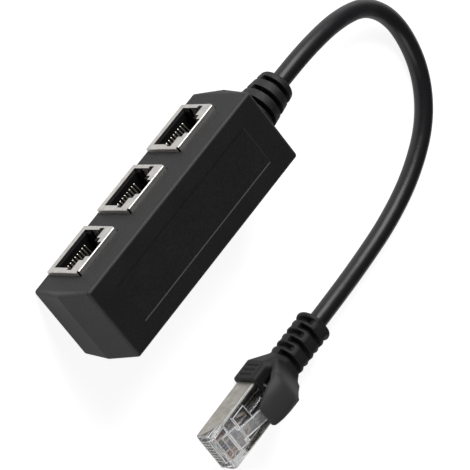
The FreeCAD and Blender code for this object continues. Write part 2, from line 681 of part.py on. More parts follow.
def latch_outline():
    """Latch seen along Y: a thick hinge at the nose and a thin lever that leans back and up."""
    hinge_x = PLUG_NOSE_X + LATCH_HINGE_BACK
    angle = math.radians(LATCH_ANGLE)
    lean = V(math.cos(angle), 0, math.sin(angle))
    over = V(-math.sin(angle), 0, math.cos(angle))
    root = V(hinge_x, 0, PLUG_TOP_Z - LATCH_HINGE_THICK)
    under = V(hinge_x + LATCH_HINGE_THICK, 0, PLUG_TOP_Z - LATCH_HINGE_THICK)
    low_start = V(hinge_x + LATCH_HINGE_THICK, 0, PLUG_TOP_Z - LATCH_SINK)
    top_start = low_start + over * LATCH_THICK - lean * LATCH_HINGE_THICK
    low_end = low_start + lean * LATCH_LENGTH
    top_end = low_end + over * LATCH_THICK
    points = [root, under, low_start, low_end, top_end, top_start]
    return [(p.x, p.z) for p in points]


def plug_latch():
    """The latch, wide to its shoulders and narrow behind them."""
    wide = plate_xz(latch_outline(), PLUG_Y - LATCH_WIDE / 2, PLUG_Y + LATCH_WIDE / 2)
    narrow_from = PLUG_NOSE_X + LATCH_HINGE_BACK + LATCH_SHOULDER
    trims = []
    for side in (-1, 1):
        y0 = PLUG_Y + side * LATCH_NARROW / 2
        y1 = PLUG_Y + side * LATCH_WIDE
        trims.append(box(narrow_from, PLUG_REAR_X + LATCH_LENGTH, min(y0, y1), max(y0, y1),
                         PLUG_TOP_Z - LATCH_HINGE_THICK, PLUG_TOP_Z + LATCH_LENGTH))
    return wide.cut(trims)


def plug_wire_points(way):
    """Centreline of one wire in the plug, from the jacket end to the nose."""
    dy, dz = wire_start(way)
    start_y = CABLE_END.y + dy
    start_z = CABLE_END.z + dz
    row_y = PLUG_Y + way_offset(way, WAY_PITCH)
    return [
        (CABLE_END.x, start_y, start_z),
        (CABLE_END.x - FAN_STRAIGHT, start_y, start_z),
        (CABLE_END.x - FAN_STRAIGHT - FAN_SPREAD, row_y, start_z),
        (CABLE_END.x - FAN_STRAIGHT - FAN_SPREAD - FAN_LEVEL, row_y, PLUG_WIRE_Z),
        (PLUG_NOSE_X + PLUG_WIRE_FRONT_BACK, row_y, PLUG_WIRE_Z),
    ]


def plug_wire(way):
    """One insulated wire laid out flat in the plug."""
    path, radii = route_arcs(plug_wire_points(way))
    ring = Part.Wire([Part.Circle(V(*plug_wire_points(way)[0]), V(-1, 0, 0), WIRE_DIAMETER / 2).toShape()])
    return path.makePipeShell([ring], True, False)


def plug_blade(way):
    """One gold-plated contact blade: a flat plate with two teeth that bite the wire."""
    y = PLUG_Y + way_offset(way, WAY_PITCH)
    front = PLUG_NOSE_X + BLADE_BACK
    rear = front + BLADE_LENGTH
    low = PLUG_LOW_Z + BLADE_LOW
    top = PLUG_WIRE_Z - WIRE_DIAMETER / 2 - BLADE_GAP
    notch = top - BLADE_TOOTH
    step = BLADE_TOOTH_WIDTH
    outline = [
        (front, low),
        (rear, low),
        (rear, top),
        (rear - step, notch),
        (rear - 2 * step, notch),
        (front + step, top),
        (front, notch),
    ]
    return plate_xz(outline, y - BLADE_THICK / 2, y + BLADE_THICK / 2)


def wire_guide():
    """Small comb block that keeps the eight wires side by side behind the contacts."""
    front = PLUG_NOSE_X + GUIDE_FRONT_BACK
    block = box(front, front + GUIDE_LENGTH, PLUG_Y - GUIDE_WIDTH / 2, PLUG_Y + GUIDE_WIDTH / 2,
                PLUG_WIRE_Z - GUIDE_HEIGHT / 2, PLUG_WIRE_Z + GUIDE_HEIGHT / 2)
    row = WAYS * WAY_PITCH / 2 + WIRE_GAP
    reach = WIRE_DIAMETER / 2 + WIRE_GAP
    window = box(front, front + GUIDE_LENGTH, PLUG_Y - row, PLUG_Y + row, PLUG_WIRE_Z - reach, PLUG_WIRE_Z + reach)
    return block.cut(window)


def plug_body():
    """Clear polycarbonate plug with its latch in one piece."""
    half = PLUG_WIDTH / 2
    block = box(PLUG_NOSE_X, PLUG_REAR_X, PLUG_Y - half, PLUG_Y + half, PLUG_LOW_Z, PLUG_TOP_Z)
    nose = [e for e in block.Edges
            if abs(e.CenterOfMass.x - PLUG_NOSE_X) < 1e-6 and abs(e.CenterOfMass.y - PLUG_Y) < 1e-6]
    block = block.makeChamfer(PLUG_NOSE_CHAMFER, nose)
    cuts = [plug_shield_walls(PLUG_SHEET_GAP)]
    row = WAYS * WAY_PITCH / 2 + WIRE_GAP
    reach = WIRE_DIAMETER / 2 + WIRE_GAP
    wire_front = PLUG_NOSE_X + PLUG_WIRE_FRONT_BACK - WIRE_GAP
    guide_front = PLUG_NOSE_X + GUIDE_FRONT_BACK
    guide_rear = guide_front + GUIDE_LENGTH
    cuts.append(box(wire_front, guide_front, PLUG_Y - row, PLUG_Y + row, PLUG_WIRE_Z - reach, PLUG_WIRE_Z + reach))
    guide_half = GUIDE_WIDTH / 2 + GUIDE_GAP
    guide_tall = GUIDE_HEIGHT / 2 + GUIDE_GAP
    cuts.append(box(guide_front - GUIDE_GAP, guide_rear + GUIDE_GAP, PLUG_Y - guide_half, PLUG_Y + guide_half,
                    PLUG_WIRE_Z - guide_tall, PLUG_WIRE_Z + guide_tall))
    fan_half = row + GUIDE_GAP
    jacket = CABLE_RADIUS + CABLE_BORE_GAP
    cuts.append(box(guide_rear, CABLE_END.x, PLUG_Y - fan_half, PLUG_Y + fan_half,
                    BOOT_Z - jacket, BOOT_Z + jacket))
    cuts.append(rod_x(CABLE_END.x - GUIDE_GAP, PLUG_REAR_X, PLUG_Y, BOOT_Z, jacket))
    for way in range(WAYS):
        y = PLUG_Y + way_offset(way, WAY_PITCH)
        side = BLADE_THICK / 2 + BLADE_GAP
        cuts.append(box(PLUG_NOSE_X + BLADE_BACK - BLADE_GAP, PLUG_NOSE_X + BLADE_BACK + BLADE_LENGTH + BLADE_GAP,
                        y - side, y + side, PLUG_LOW_Z, PLUG_WIRE_Z))
    return block.cut(cuts).fuse(plug_latch()).removeSplitter()


def hood():
    """Springy cover over the latch: it rises from a wide foot, reaches forward and narrows to its lip."""
    top = BLOCK_TOP_Z + HOOD_RISE
    front = BLOCK_FRONT_X - HOOD_REACH
    bend = BLOCK_FRONT_X + HOOD_BEND_BACK
    fall = math.tan(math.radians(HOOD_SLOPE))
    along = 1 / math.sin(math.radians(HOOD_SLOPE))
    foot_z = BOOT_Z + BOOT_RADIUS - BOOT_SLEEVE
    under = top - HOOD_BEND_THICK
    foot_x = bend + (top - foot_z) / fall
    leg_top = bend - HOOD_LEG_THICK * along + HOOD_BEND_THICK / fall
    outline = [
        (front, top - HOOD_DROP),
        (bend, top),
        (foot_x, foot_z),
        (foot_x - HOOD_LEG_THICK * along, foot_z),
        (leg_top, under),
        (front, top - HOOD_DROP - HOOD_THICK),
    ]
    half = HOOD_WIDTH / 2
    base = half + max(HOOD_SKIRT, HOOD_FOOT_FLARE)
    cover = plate_xz(outline, PLUG_Y - base, PLUG_Y + base)
    bends = [e for e in cover.Edges if is_at(e, bend, top) or is_at(e, leg_top, under)]
    cover = cover.makeFillet(HOOD_BEND_ROUND, bends)
    lip = [e for e in cover.Edges if is_at(e, front, top - HOOD_DROP)]
    cover = cover.makeFillet(HOOD_EDGE_ROUND, lip)
    flanks = [(front, half - HOOD_CORNER), (front + HOOD_CORNER, half),
              (BLOCK_FRONT_X, half + HOOD_SKIRT), (foot_x, half + HOOD_FOOT_FLARE)]
    ring = [V(x, PLUG_Y + wide, 0) for x, wide in flanks]
    ring += [V(x, PLUG_Y - wide, 0) for x, wide in reversed(flanks)]
    plan = Part.Face(Part.makePolygon(ring + ring[:1])).extrude(V(0, 0, 2 * top))
    cover = cover.common(plan)
    sink = base * math.tan(math.radians(HOOD_SKIRT_SLOPE))
    for side in (-1, 1):
        crown = V(front - HOOD_REACH, PLUG_Y + side * half, top)
        wedge = [crown, crown + V(0, side * base, 0), crown + V(0, side * base, -sink)]
        cover = cover.cut(Part.Face(Part.makePolygon(wedge + wedge[:1])).extrude(V(foot_x - crown.x, 0, 0)))
    return cover


def is_at(edge, x, z):
    """An edge that runs along Y at one place in X and Z."""
    return math.hypot(edge.CenterOfMass.x - x, edge.CenterOfMass.z - z) < 1e-6


def rounded_section(x, y, z, half_y, half_z, corner):
    """Eight-edge outline across X: a rectangle with round corners, or a circle if they are full."""
    edges = []
    flat_y = half_y - corner
    flat_z = half_z - corner
    quarter = corner * math.sqrt(0.5)
    for cy, cz in ((1, 1), (-1, 1), (-1, -1), (1, -1)):
        along_first = cy * cz > 0
        centre = V(x, y + cy * flat_y, z + cz * flat_z)
        side = centre + V(0, cy * corner, 0)
        cap = centre + V(0, 0, cz * corner)
        middle = centre + V(0, cy * quarter, cz * quarter)
        start, end = (side, cap) if along_first else (cap, side)
        edges.append((start, middle, end))
    wire = []
    for here, after in zip(edges, edges[1:] + edges[:1]):
        wire.append(Part.Arc(*here).toShape())
        wire.append(Part.LineSegment(here[2], after[0]).toShape())
    return Part.Wire(wire)


def boot_block():
    """Finger block round the rear of the plug, with a window in its roof and grip grooves in its cheeks."""
    block = box(BLOCK_FRONT_X, BLOCK_REAR_X, PLUG_Y - BLOCK_HALF_Y, PLUG_Y + BLOCK_HALF_Y,
                BLOCK_LOW_Z, BLOCK_TOP_Z)
    along = [e for e in block.Edges if abs(e.CenterOfMass.x - (BLOCK_FRONT_X + BLOCK_REAR_X) / 2) < 1e-6]
    block = block.makeFillet(BOOT_CORNER, along)
    half_window = BOOT_WINDOW_WIDTH / 2
    cuts = [box(BLOCK_FRONT_X + BOOT_BAR, BLOCK_REAR_X - BOOT_WINDOW_REAR_WALL,
                PLUG_Y - half_window, PLUG_Y + half_window, PLUG_TOP_Z, BLOCK_TOP_Z)]
    middle_z = (BLOCK_LOW_Z + BLOCK_TOP_Z) / 2
    for number in range(BOOT_GRIP_COUNT):
        x = BLOCK_FRONT_X + BOOT_GRIP_FIRST + number * BOOT_GRIP_PITCH
        for side in (-1, 1):
            outer = PLUG_Y + side * BLOCK_HALF_Y
            inner = outer - side * BOOT_GRIP_SINK
            cuts.append(box(x - BOOT_GRIP_WIDTH / 2, x + BOOT_GRIP_WIDTH / 2, min(outer, inner), max(outer, inner),
                            middle_z - BOOT_GRIP_HEIGHT / 2, middle_z + BOOT_GRIP_HEIGHT / 2))
    return block.cut(cuts)


def boot_tube():
    """Shoulder, ribbed bend relief with its slots cut by turns, and end collar."""
    middle_z = (BLOCK_LOW_Z + BLOCK_TOP_Z) / 2
    half_z = (BLOCK_TOP_Z - BLOCK_LOW_Z) / 2
    wide = rounded_section(BLOCK_REAR_X, PLUG_Y, middle_z, BLOCK_HALF_Y, half_z, BOOT_CORNER)
    narrow = rounded_section(TUBE_FRONT_X, PLUG_Y, BOOT_Z, BOOT_RADIUS, BOOT_RADIUS, BOOT_RADIUS - BOOT_FLAT)
    shoulder = Part.makeLoft([wide, narrow], True, True)
    tube = rod_x(TUBE_FRONT_X - BOOT_FLAT, TUBE_REAR_X - BOOT_COLLAR_LENGTH / 2, PLUG_Y, BOOT_Z, BOOT_RADIUS)
    collar = rod_x(TUBE_REAR_X - BOOT_COLLAR_LENGTH, TUBE_REAR_X, PLUG_Y, BOOT_Z, BOOT_RADIUS + BOOT_COLLAR_RISE)
    rims = [e for e in collar.Edges if len(e.Vertexes) == 1]
    collar = collar.makeFillet(BOOT_COLLAR_ROUND, rims)
    core = CABLE_RADIUS + BOOT_BORE_GAP + BOOT_SLEEVE
    slots = []
    for number in range(BOOT_SLOT_COUNT):
        x = TUBE_FRONT_X + BOOT_SLOT_FIRST + number * BOOT_SLOT_PITCH
        slots.append(slot_ring(x, BOOT_SLOT_WIDTH, PLUG_Y, BOOT_Z, core, BOOT_TOP_WEB, True))
        slots.append(slot_ring(x + BOOT_SLOT_STAGGER, BOOT_SLOT_WIDTH, PLUG_Y, BOOT_Z, core, BOOT_SIDE_WEB, False))
    return shoulder.fuse([tube, collar]).cut(slots)


def plug_boot():
    """Soft PVC boot: finger block, latch cover and bend relief in one moulding."""
    boot = boot_block().fuse([boot_tube(), hood()])
    gap = BOOT_PLUG_GAP
    plug_half = PLUG_WIDTH / 2 + gap
    cuts = [box(BLOCK_FRONT_X, PLUG_REAR_X + gap, PLUG_Y - plug_half, PLUG_Y + plug_half,
                PLUG_LOW_Z - gap, PLUG_TOP_Z + gap)]
    cuts.append(rod_x(PLUG_REAR_X, TUBE_REAR_X + 1, PLUG_Y, BOOT_Z, CABLE_RADIUS + BOOT_BORE_GAP))
    return boot.cut(cuts).removeSplitter()


def build_all():
    """Every piece by its node name."""
    pieces = {"housing": housing(), "circuit_board": circuit_board()}
    for number in range(JACK_COUNT):
        middle = jack_middle(number)
        name = "jack_%d" % (number + 1)
        pieces[name + "_shield"] = jack_shield(middle)
        pieces[name + "_insert"] = jack_insert(middle)
        pieces[name + "_contact_carrier"] = contact_carrier(middle)
        for way in range(WAYS):
            pieces["%s_contact_%d" % (name, way + 1)] = jack_contact(middle, way)
    for pair, colour in enumerate(PAIR_NAMES):
        wires = [board_wire(2 * pair), board_wire(2 * pair + 1)]
        pieces["board_wires_" + colour] = Part.Compound(wires)
    cable, path, radii = round_tube(CABLE_POINTS, CABLE_RADIUS)
    print("cable arc radii", [round(r, 1) for r in radii])
    print("cable length %.1f, volume over section times length %.4f"
          % (path.Length, cable.Volume / (path.Length * math.pi * CABLE_RADIUS ** 2)))
    pieces["cable"] = cable
    pieces["plug_body"] = plug_body()
    pieces["plug_shield"] = plug_shield_walls(0.0)
    pieces["plug_wire_guide"] = wire_guide()
    pieces["plug_boot"] = plug_boot()
    for way in range(WAYS):
        pieces["plug_contact_%d" % (way + 1)] = plug_blade(way)
        pieces["plug_wire_%d" % (way + 1)] = plug_wire(way)
    return pieces


os.makedirs("parts", exist_ok=True)
for node, shape in build_all().items():
    if not shape.isValid():
        print("not valid:", node)
    shape.exportStep("parts/%s.step" % node)
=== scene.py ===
import math

import bmesh
import bpy
from mathutils import Matrix, Vector


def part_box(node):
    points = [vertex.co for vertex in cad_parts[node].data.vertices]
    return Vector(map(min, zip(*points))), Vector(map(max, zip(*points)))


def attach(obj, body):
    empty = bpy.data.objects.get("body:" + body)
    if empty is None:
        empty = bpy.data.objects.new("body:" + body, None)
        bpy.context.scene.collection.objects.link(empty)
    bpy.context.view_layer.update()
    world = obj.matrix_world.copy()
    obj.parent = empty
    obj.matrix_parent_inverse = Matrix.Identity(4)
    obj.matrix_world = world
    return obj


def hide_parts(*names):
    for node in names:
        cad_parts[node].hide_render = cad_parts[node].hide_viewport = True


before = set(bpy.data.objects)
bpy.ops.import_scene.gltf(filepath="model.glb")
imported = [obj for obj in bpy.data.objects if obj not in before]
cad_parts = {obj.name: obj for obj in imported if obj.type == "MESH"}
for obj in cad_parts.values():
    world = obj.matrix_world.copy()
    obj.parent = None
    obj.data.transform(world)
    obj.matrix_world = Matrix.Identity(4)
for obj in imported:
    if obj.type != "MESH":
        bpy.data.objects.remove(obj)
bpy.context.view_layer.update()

MM = 0.001

# Camera
# The photograph is a product shot from about a metre away with a long lens. It looks down on the label
# face and along the jack face, and the camera is rolled so that the body runs up the picture.
CAMERA_AZIMUTH = 223.73
CAMERA_ELEVATION = 51.9
CAMERA_ROLL = 91.05
CAMERA_DISTANCE = 1001.7 * MM
CAMERA_TARGET = Vector((12.74, -17.26, 12.02)) * MM
CAMERA_SENSOR = 36.0
FOCAL_PIXELS = 3941.0
PICTURE_PIXELS = 470

azimuth = math.radians(CAMERA_AZIMUTH)
elevation = math.radians(CAMERA_ELEVATION)
roll = math.radians(CAMERA_ROLL)
back = Vector((
    math.sin(azimuth) * math.cos(elevation), -math.cos(azimuth) * math.cos(elevation), math.sin(elevation)))
level = Vector((math.cos(azimuth), math.sin(azimuth), 0))
steep = back.cross(level)
right = math.cos(roll) * level + math.sin(roll) * steep
up = math.cos(roll) * steep - math.sin(roll) * level
camera = bpy.data.objects.new("camera", bpy.data.cameras.new("camera"))
camera.data.sensor_width = CAMERA_SENSOR
camera.data.lens = FOCAL_PIXELS / PICTURE_PIXELS * CAMERA_SENSOR
camera.data.clip_start = 0.01
turn = Matrix((right, up, back)).transposed().to_4x4()
camera.matrix_world = Matrix.Translation(CAMERA_TARGET + back * CAMERA_DISTANCE) @ turn
bpy.context.scene.collection.objects.link(camera)
bpy.context.scene.camera = camera


# Cable
# The lead is a round jacket of black PVC, 5.1 mm thick, extruded over its eight wires. It leaves the strain
# relief level, comes down to the table in one open loop and rises a little into the plug's boot.
CABLE_DIAMETER = 5.1 * MM
CABLE_ROUTE = [
    (34.4, 0.0, 11.5),
    (49.3, 0.0, 11.5),
    (64.0, -0.4, 11.2),
    (77.8, -3.0, 9.6),
    (89.6, -9.2, 6.3),
    (95.7, -20.9, 3.5),
    (93.5, -35.8, 2.6),
    (85.0, -46.9, 2.6),
    (71.8, -53.6, 2.6),
    (57.1, -56.9, 2.6),
    (42.0, -57.5, 3.2),
    (27.0, -56.8, 4.8),
    (6.5, -56.4, 5.1),
    (-14.0, -56.4, 5.1),
]


def linear(colour):
    """Turns an sRGB hex colour into the linear values that a shader takes."""
    parts = [int(colour[place:place + 2], 16) / 255 for place in (1, 3, 5)]
    straight = [part / 12.92 if part <= 0.04045 else ((part + 0.055) / 1.055) ** 2.4 for part in parts]
    return (*straight, 1.0)


def add_node(tree, kind, inputs=None, **settings):
    """Adds a node with its settings; each input takes a value, or the socket that feeds it."""
    node = tree.nodes.new(kind)
    for name, value in settings.items():
        setattr(node, name, value)
    for name, value in (inputs or {}).items():
        if isinstance(value, bpy.types.NodeSocket):
            tree.links.new(value, node.inputs[name])
        else:
            node.inputs[name].default_value = value
    return node


def start_material(name):
    """An empty node material, its tree and the object coordinates that its patterns read."""
    material = bpy.data.materials.new(name)
    material.use_nodes = True
    tree = material.node_tree
    tree.nodes.clear()
    place = add_node(tree, "ShaderNodeTexCoord").outputs["Object"]
    return material, tree, place


def end_material(material, tree, shader):
    """Joins the finished shader to the surface."""
    add_node(tree, "ShaderNodeOutputMaterial", {"Surface": shader.outputs[0]})
    return material


def satin_pvc_jacket():
    """Black plasticised PVC, extruded: smooth and satin, with a faint waviness from the wires inside."""
    material, tree, place = start_material("satin_pvc_jacket")
    waves = add_node(tree, "ShaderNodeTexNoise", {"Vector": place, "Scale": 1 / (9.0 * MM), "Detail": 2.0})
    grain = add_node(tree, "ShaderNodeTexNoise", {"Vector": place, "Scale": 1 / (0.5 * MM), "Detail": 3.0})
    swell = add_node(tree, "ShaderNodeBump", {
        "Height": waves.outputs["Fac"], "Distance": 0.30 * MM, "Strength": 0.9})
    skin = add_node(tree, "ShaderNodeBump", {"Height": grain.outputs["Fac"], "Distance": 0.02 * MM,
                                             "Normal": swell.outputs["Normal"]})
    gloss = add_node(tree, "ShaderNodeMapRange", {
        "Value": waves.outputs["Fac"], "To Min": 0.34, "To Max": 0.42})
    shader = add_node(tree, "ShaderNodeBsdfPrincipled", {
        "Base Color": linear("#1d1d20"), "Roughness": gloss.outputs["Result"], "IOR": 1.53,
        "Normal": skin.outputs["Normal"]})
    return end_material(material, tree, shader)


curve = bpy.data.curves.new("cable_jacket", "CURVE")
curve.dimensions = "3D"
spline = curve.splines.new("NURBS")
spline.points.add(len(CABLE_ROUTE) - 1)
for point, place in zip(spline.points, CABLE_ROUTE):
    point.co = (*(Vector(place) * MM), 1.0)
spline.order_u = 3
spline.use_endpoint_u = True
spline.resolution_u = 16
curve.bevel_depth = CABLE_DIAMETER / 2
curve.bevel_resolution = 8
curve.use_fill_caps = True
cable = bpy.data.objects.new("cable_jacket", curve)
bpy.context.scene.collection.objects.link(cable)
cable.data.materials.append(satin_pvc_jacket())
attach(cable, "root")
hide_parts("cable")


# Housing
# The body and its slotted strain relief are one overmoulding of black PVC, shot round the finished jacks
# and their board. The mould's spark-eroded wall leaves a fine matt grain, and a bare label field is sunk in.
HOUSING_GRAIN = 0.35 * MM
HOUSING_GRAIN_DEPTH = 0.045 * MM
BODY_HALF = Vector((35.4, 11.375, 11.5)) * MM
BODY_MIDDLE = Vector((0.0, 0.0, 11.5)) * MM
HIGHLIGHT_BAND = 0.9 * MM


def grained_pvc(name, colour, worn, grain, depth, rough, painted_highlight_mask):
    """Black PVC from an eroded mould: matt, finely pitted, greyer in random specks, and lifted to pale grey
    where a painted highlight mask lies.
    """
    material, tree, place = start_material(name)
    pits = add_node(tree, "ShaderNodeTexVoronoi", {"Vector": place, "Scale": 1 / grain, "Randomness": 1.0})
    cloud = add_node(tree, "ShaderNodeTexNoise", {"Vector": place, "Scale": 1 / (12.0 * MM), "Detail": 4.0})
    dust = add_node(tree, "ShaderNodeTexNoise", {"Vector": place, "Scale": 0.7 / grain, "Detail": 3.0})
    specks = add_node(tree, "ShaderNodeMapRange", {
        "Value": dust.outputs["Fac"], "From Min": 0.38, "From Max": 0.62})
    shade = add_node(tree, "ShaderNodeMath", {
        0: cloud.outputs["Fac"], 1: specks.outputs["Result"]}, operation="MULTIPLY")
    tint = add_node(tree, "ShaderNodeMix", {
        "Factor": shade.outputs[0], "A": linear(colour), "B": linear(worn)}, data_type="RGBA")
    # Painted highlight: where the given mask lies, the tint is lifted to a pale grey in place of lamp light.
    tint = add_node(tree, "ShaderNodeMix", {
        "Factor": painted_highlight_mask(tree, place), "A": tint.outputs["Result"], "B": linear("#424244")}, data_type="RGBA")
    bump = add_node(tree, "ShaderNodeBump", {"Height": pits.outputs["Distance"], "Distance": depth})
    gloss = add_node(tree, "ShaderNodeMapRange", {
        "Value": cloud.outputs["Fac"], "To Min": rough - 0.05, "To Max": rough + 0.05})
    shader = add_node(tree, "ShaderNodeBsdfPrincipled", {
        "Base Color": tint.outputs["Result"], "Roughness": gloss.outputs["Result"], "IOR": 1.53,
        "Normal": bump.outputs["Normal"]})
    return end_material(material, tree, shader)


def painted_edge_highlight(tree, place):
    """One along the body's edges and nothing on its faces: a painted highlight band standing in for lamp
    light on the rounded edges.
    """
    centred = add_node(tree, "ShaderNodeVectorMath", {0: place, 1: BODY_MIDDLE}, operation="SUBTRACT")
    away = add_node(tree, "ShaderNodeVectorMath", {0: centred.outputs["Vector"]}, operation="ABSOLUTE")
    past = add_node(tree, "ShaderNodeVectorMath", {
        0: away.outputs["Vector"], 1: [half - HIGHLIGHT_BAND for half in BODY_HALF]}, operation="SUBTRACT")
    sides = add_node(tree, "ShaderNodeSeparateXYZ", {"Vector": past.outputs["Vector"]}).outputs
    nearest = None
    for one, other in (("X", "Y"), ("Y", "Z"), ("X", "Z")):
        edge = add_node(tree, "ShaderNodeMath", {0: sides[one], 1: sides[other]}, operation="MINIMUM")
        if nearest:
            edge = add_node(tree, "ShaderNodeMath", {0: nearest, 1: edge.outputs[0]}, operation="MAXIMUM")
        nearest = edge.outputs[0]
    return add_node(tree, "ShaderNodeMapRange", {"Value": nearest, "From Max": HIGHLIGHT_BAND}).outputs["Result"]


def dress(node, material):
    """Gives a carried-over node its finish."""
    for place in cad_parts[node].material_slots:
        place.material = material


# The housing's tint is lifted to pale grey along its edges: a painted highlight band.
dress("housing", grained_pvc(
    "grained_pvc_housing", "#141415", "#2b2b2c", HOUSING_GRAIN, HOUSING_GRAIN_DEPTH, 0.58, painted_edge_highlight))


# Jack cans
# Each jack wears a can folded from thin brass sheet and plated with nickel. Its front plate is punched for
# the plug and its latch, and a grounding finger is folded in from each side of the mouth.
SHEET_ROLL_LINES = 0.12 * MM


def nickel_plate(name, bright, stained, rough):
    """Nickel over rolled sheet: pale warm metal with faint rolling lines and a soft reflection."""
    material, tree, place = start_material(name)
    along = add_node(tree, "ShaderNodeMapping", {"Vector": place, "Scale": (0.04, 1.0, 1.0)})
    lines = add_node(tree, "ShaderNodeTexNoise", {
        "Vector": along.outputs["Vector"], "Scale": 1 / SHEET_ROLL_LINES, "Detail": 2.0})
    stain = add_node(tree, "ShaderNodeTexNoise", {"Vector": place, "Scale": 1 / (1.8 * MM), "Detail": 5.0})
    patches = add_node(tree, "ShaderNodeMapRange", {
        "Value": stain.outputs["Fac"], "From Min": 0.2, "From Max": 0.8})
    tint = add_node(tree, "ShaderNodeMix", {
        "Factor": patches.outputs["Result"], "A": linear(bright), "B": linear(stained)}, data_type="RGBA")
    gloss = add_node(tree, "ShaderNodeMapRange", {
        "Value": patches.outputs["Result"], "To Min": rough, "To Max": rough + 0.12})
    bump = add_node(tree, "ShaderNodeBump", {"Height": lines.outputs["Fac"], "Distance": 0.004 * MM})
    shader = add_node(tree, "ShaderNodeBsdfPrincipled", {
        "Base Color": tint.outputs["Result"], "Metallic": 1.0, "Roughness": gloss.outputs["Result"],
        "Normal": bump.outputs["Normal"]})
    return end_material(material, tree, shader)


nickel = nickel_plate("nickel_plate", "#e6e3df", "#c8c5c1", 0.33)
JACKS = ["jack_1", "jack_2", "jack_3"]
for jack in JACKS:
    dress(jack + "_shield", nickel)


# Jack sockets
# The plug slides into a socket of black glass-filled PBT inside the can. A comb of the same plastic behind
# it holds the contacts in line. Both are injection moulded, and the glass in them leaves the skin dull.
def moulded_pbt():
    """Black glass-filled PBT: deep black, and dull because the pits between its fibres swallow the sheen."""
    material, tree, place = start_material("moulded_pbt")
    flow = add_node(tree, "ShaderNodeTexNoise", {"Vector": place, "Scale": 1 / (1.6 * MM), "Detail": 5.0})
    gloss = add_node(tree, "ShaderNodeMapRange", {
        "Value": flow.outputs["Fac"], "To Min": 0.62, "To Max": 0.78})
    tint = add_node(tree, "ShaderNodeMix", {
        "Factor": flow.outputs["Fac"], "A": linear("#060606"), "B": linear("#0b0b0c")}, data_type="RGBA")
    bump = add_node(tree, "ShaderNodeBump", {"Height": flow.outputs["Fac"], "Distance": 0.01 * MM})
    shader = add_node(tree, "ShaderNodeBsdfPrincipled", {
        "Base Color": tint.outputs["Result"], "Roughness": gloss.outputs["Result"], "IOR": 1.57,
        "Specular IOR Level": 0.2, "Normal": bump.outputs["Normal"]})
    return end_material(material, tree, shader)


pbt = moulded_pbt()
for jack in JACKS:
    dress(jack + "_insert", pbt)
    dress(jack + "_contact_carrier", pbt)


# Jack contacts and plug blades
# The eight springs of each jack are bent from phosphor bronze wire and plated with a thin layer of gold
# where they touch. The plug's blades are punched from the same bronze and plated all over.
WAYS = range(1, 9)


def gold_flash():
    """Gold flash over nickel and bronze: pale metal, satin along the springs."""
    material, tree, place = start_material("gold_flash")
    wear = add_node(tree, "ShaderNodeTexNoise", {"Vector": place, "Scale": 1 / (0.8 * MM), "Detail": 2.0})
    tint = add_node(tree, "ShaderNodeMix", {
        "Factor": wear.outputs["Fac"], "A": linear("#f2eee4"), "B": linear("#e2d9c4")}, data_type="RGBA")
    gloss = add_node(tree, "ShaderNodeMapRange", {
        "Value": wear.outputs["Fac"], "To Min": 0.34, "To Max": 0.42})
    shader = add_node(tree, "ShaderNodeBsdfPrincipled", {
        "Base Color": tint.outputs["Result"], "Metallic": 1.0, "Roughness": gloss.outputs["Result"]})
    return end_material(material, tree, shader)


def rounded_copy(node, width, finishes):
    """A merged copy of a carried-over piece, its sharp edges rounded and given the last finish."""
    body = bmesh.new()
    body.from_mesh(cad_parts[node].data)
    bmesh.ops.remove_doubles(body, verts=body.verts, dist=0.001 * MM)
    bmesh.ops.dissolve_limit(body, angle_limit=math.radians(0.5), verts=body.verts, edges=body.edges)
    mesh = bpy.data.meshes.new(node + "_rounded")
    body.to_mesh(mesh)
    body.free()
    mesh.shade_smooth()
    mesh.materials.clear()
    for finish in finishes:
        mesh.materials.append(finish)
    for face in mesh.polygons:
        face.material_index = 0
    piece = bpy.data.objects.new(node + "_rounded", mesh)
    bpy.context.scene.collection.objects.link(piece)
    edge = piece.modifiers.new("edge", "BEVEL")
    edge.width = width
    edge.segments = 2
    edge.limit_method = "ANGLE"
    edge.angle_limit = math.radians(35)
    edge.use_clamp_overlap = False
    edge.material = len(finishes) - 1
    even = piece.modifiers.new("even", "WEIGHTED_NORMAL")
    even.keep_sharp = True
    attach(piece, "root")
    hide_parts(node)
    return piece


CONTACT_EDGE = 0.06 * MM
gold = gold_flash()
for way in WAYS:
    dress("plug_contact_%d" % way, gold)
    for jack in JACKS:
        rounded_copy("%s_contact_%d" % (jack, way), CONTACT_EDGE, [gold])


# Circuit board
# A board of woven glass and epoxy, 1.6 mm thick with a green solder mask, joins the jacks in parallel
# inside the body. The weave shows faintly through the mask.
WEAVE_PITCH = 0.45 * MM


def masked_glass_epoxy():
    """Green solder mask over woven glass: glossy, with the cloth's small squares under the lacquer."""
    material, tree, place = start_material("masked_glass_epoxy")
    cloth = add_node(tree, "ShaderNodeTexChecker", {
        "Vector": place, "Scale": 1 / WEAVE_PITCH, "Color1": linear("#1c5a34"), "Color2": linear("#226a3e")})
    lacquer = add_node(tree, "ShaderNodeTexNoise", {"Vector": place, "Scale": 1 / (3.0 * MM), "Detail": 2.0})
    bump = add_node(tree, "ShaderNodeBump", {"Height": cloth.outputs["Fac"], "Distance": 0.006 * MM})
    gloss = add_node(tree, "ShaderNodeMapRange", {
        "Value": lacquer.outputs["Fac"], "To Min": 0.22, "To Max": 0.34})
    shader = add_node(tree, "ShaderNodeBsdfPrincipled", {
        "Base Color": cloth.outputs["Color"], "Roughness": gloss.outputs["Result"],
        "Normal": bump.outputs["Normal"]})
    return end_material(material, tree, shader)


dress("circuit_board", masked_glass_epoxy())


# Solder joints
# Every contact tail and wire end is soldered to the board by hand or wave: a small bright cone that climbs
# the pin and thins out, with its foot wetted over a round pad.
TAIL_FOOT = 0.62 * MM
TAIL_HEIGHT = 0.75 * MM
TAIL_MIDDLE = 0.4
CONE_PINCH = -0.75
PAD_PITCH = 1.25 * MM
PAD_JOINT = 1.1
MIDDLE_WAY = 4.5


